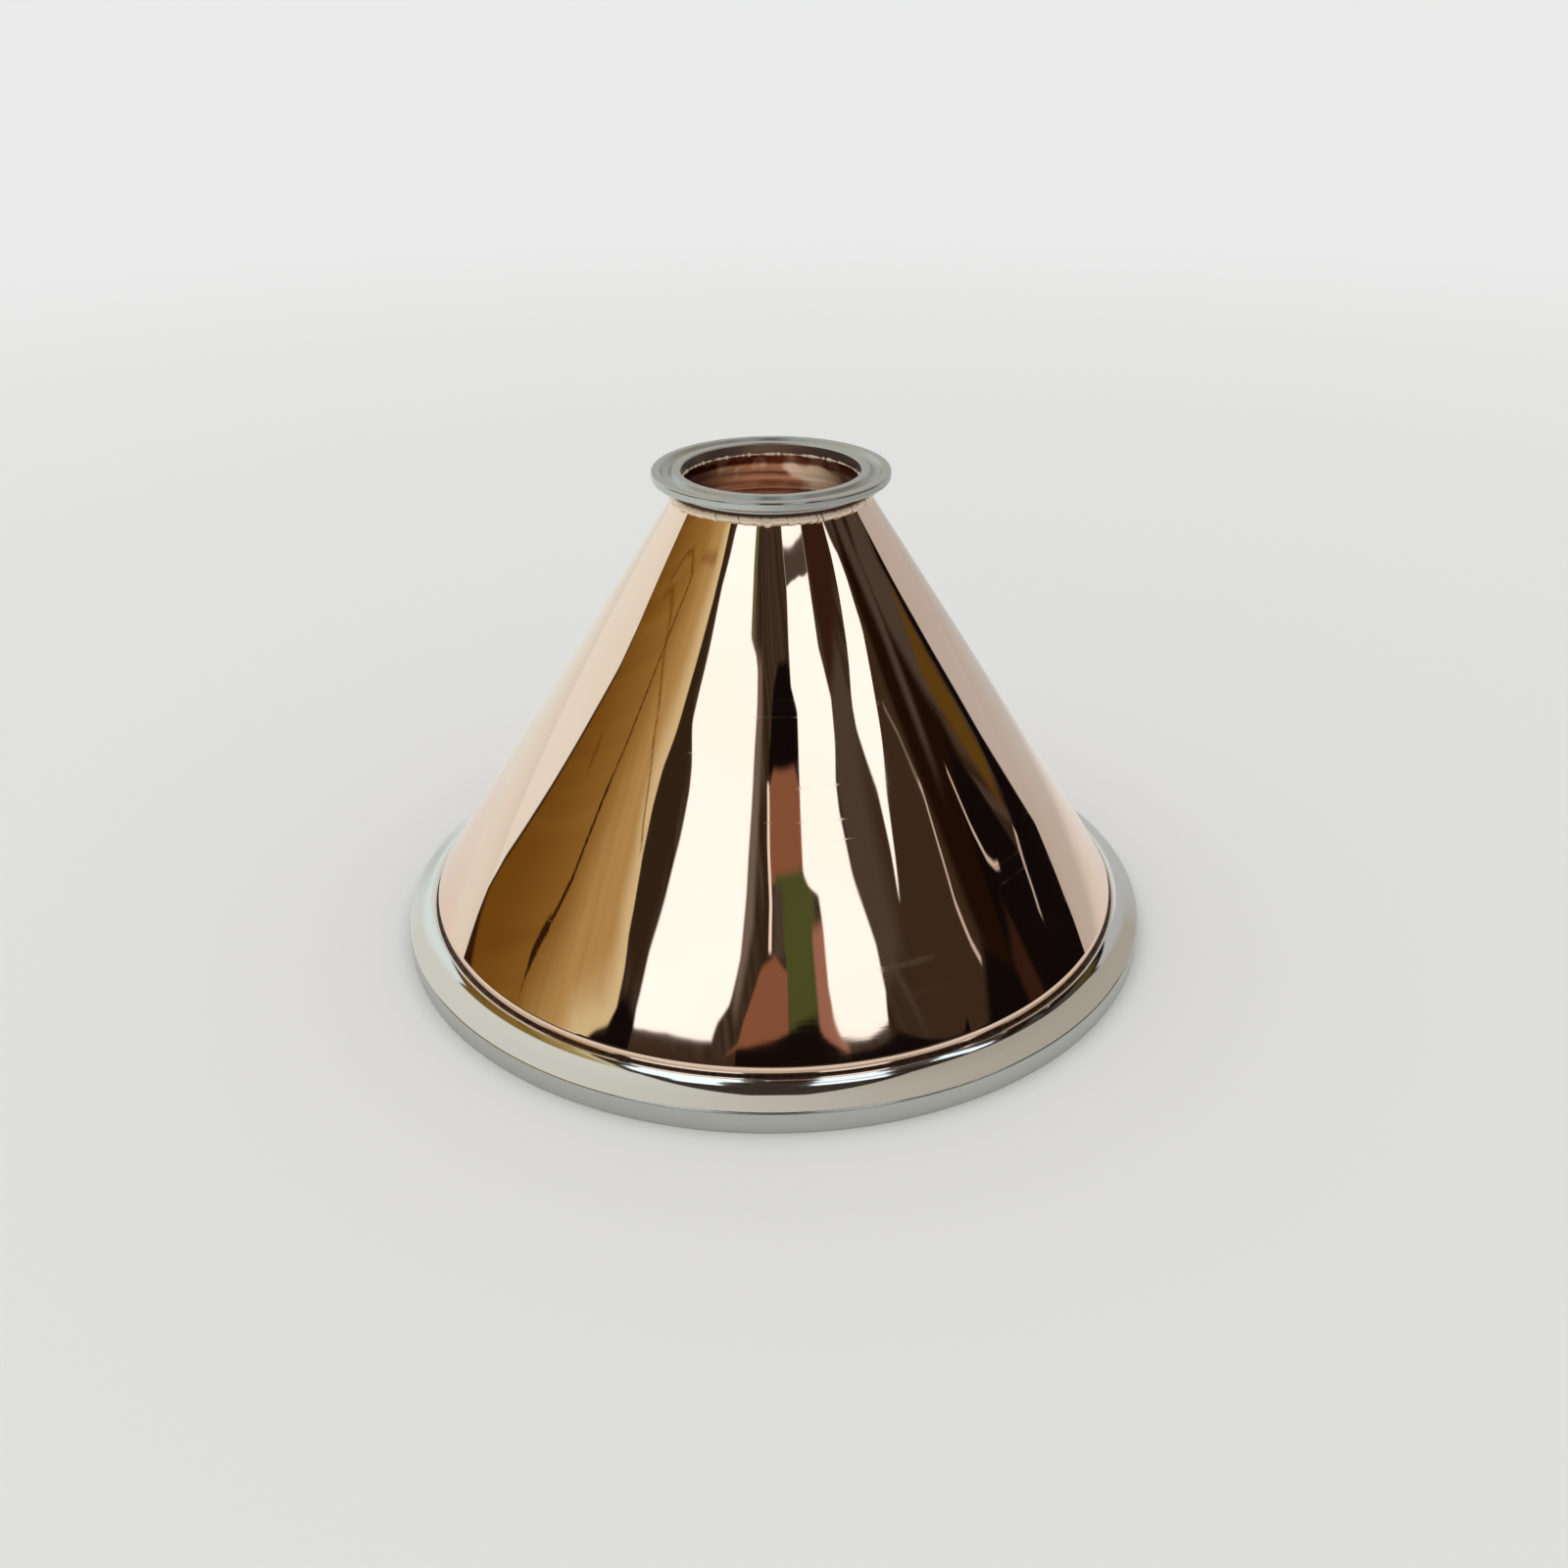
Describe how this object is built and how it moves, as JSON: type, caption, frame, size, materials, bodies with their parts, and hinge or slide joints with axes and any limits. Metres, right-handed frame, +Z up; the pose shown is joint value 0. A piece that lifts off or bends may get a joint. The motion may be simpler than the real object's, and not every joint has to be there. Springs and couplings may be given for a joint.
{
  "type": "concentric pipe reducer",
  "caption": "Polished copper cone that joins a wide and a narrow sanitary clamp ferrule on one axis, open from end to end, with a dressed lower seam and a rippled upper weld.",
  "frame": {"origin": "centre of the large ferrule's face, which stands on the ground", "axes": "+Z up along the common axis, from the large end to the small end"},
  "size_m": [0.2174, 0.2174, 0.1344],
  "materials": {
    "polished_copper": "mirror polished copper",
    "stainless_steel": "turned and polished stainless steel",
    "seam_metal": "dressed weld",
    "filler_metal": "rippled copper filler weld"
  },
  "bodies": {
    "root": {"reducer_cone": "polished_copper", "large_ferrule": "stainless_steel", "small_ferrule": "stainless_steel", "lower_weld_seam": "seam_metal", "upper_weld_bead": "filler_metal"}
  },
  "joints": []
}
